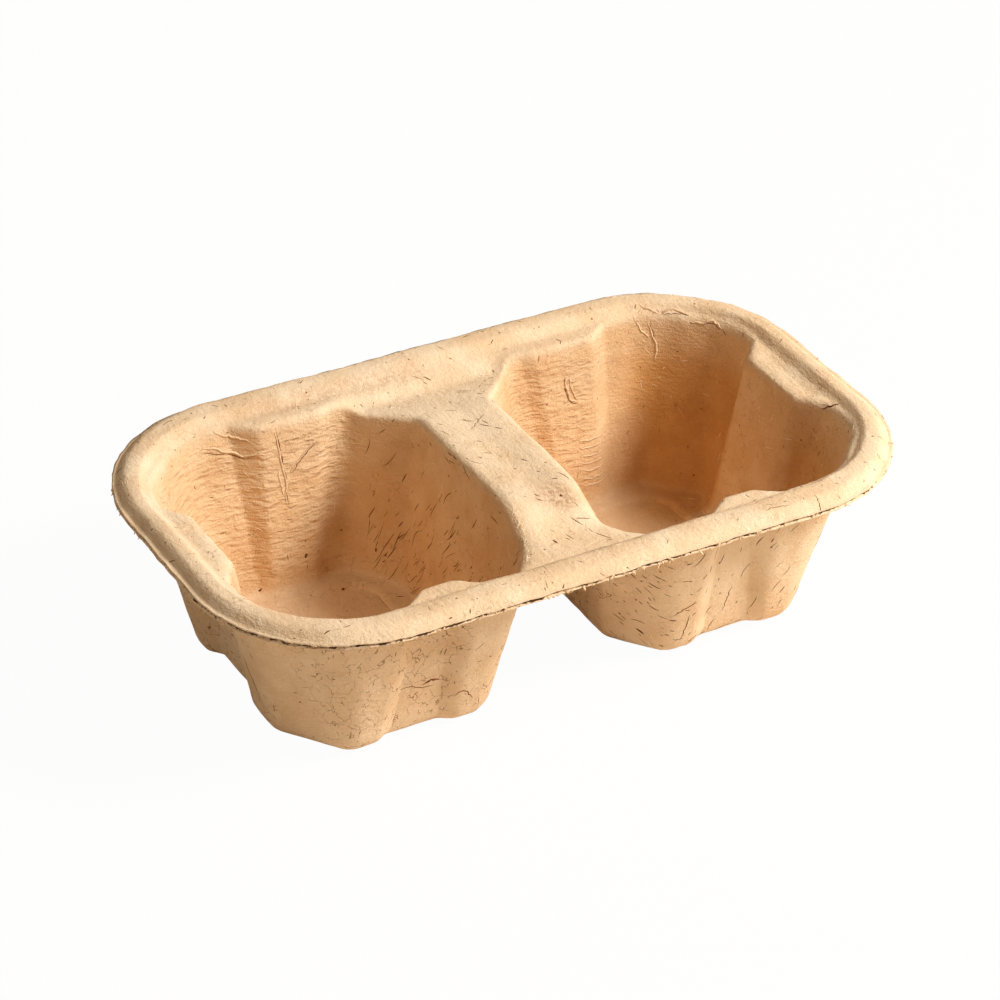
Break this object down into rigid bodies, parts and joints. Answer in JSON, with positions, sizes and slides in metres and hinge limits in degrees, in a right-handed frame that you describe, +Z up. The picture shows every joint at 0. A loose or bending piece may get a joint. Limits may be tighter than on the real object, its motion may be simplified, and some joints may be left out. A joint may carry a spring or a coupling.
{
  "type": "cup carrier",
  "caption": "Moulded pulp carrier with deep ribbed cup wells joined by a low saddle, inside one beaded oval rim.",
  "frame": {"origin": "on the table under the middle of the tray", "axes": "+Z up, +X along the tray through both wells, +Y towards the side whose saddle valley is shallow"},
  "size_m": [0.21, 0.128, 0.0558],
  "materials": {
    "moulded_pulp": "matt fibrous tan"
  },
  "bodies": {
    "root": {"carrier_tray": "moulded_pulp"}
  },
  "joints": []
}
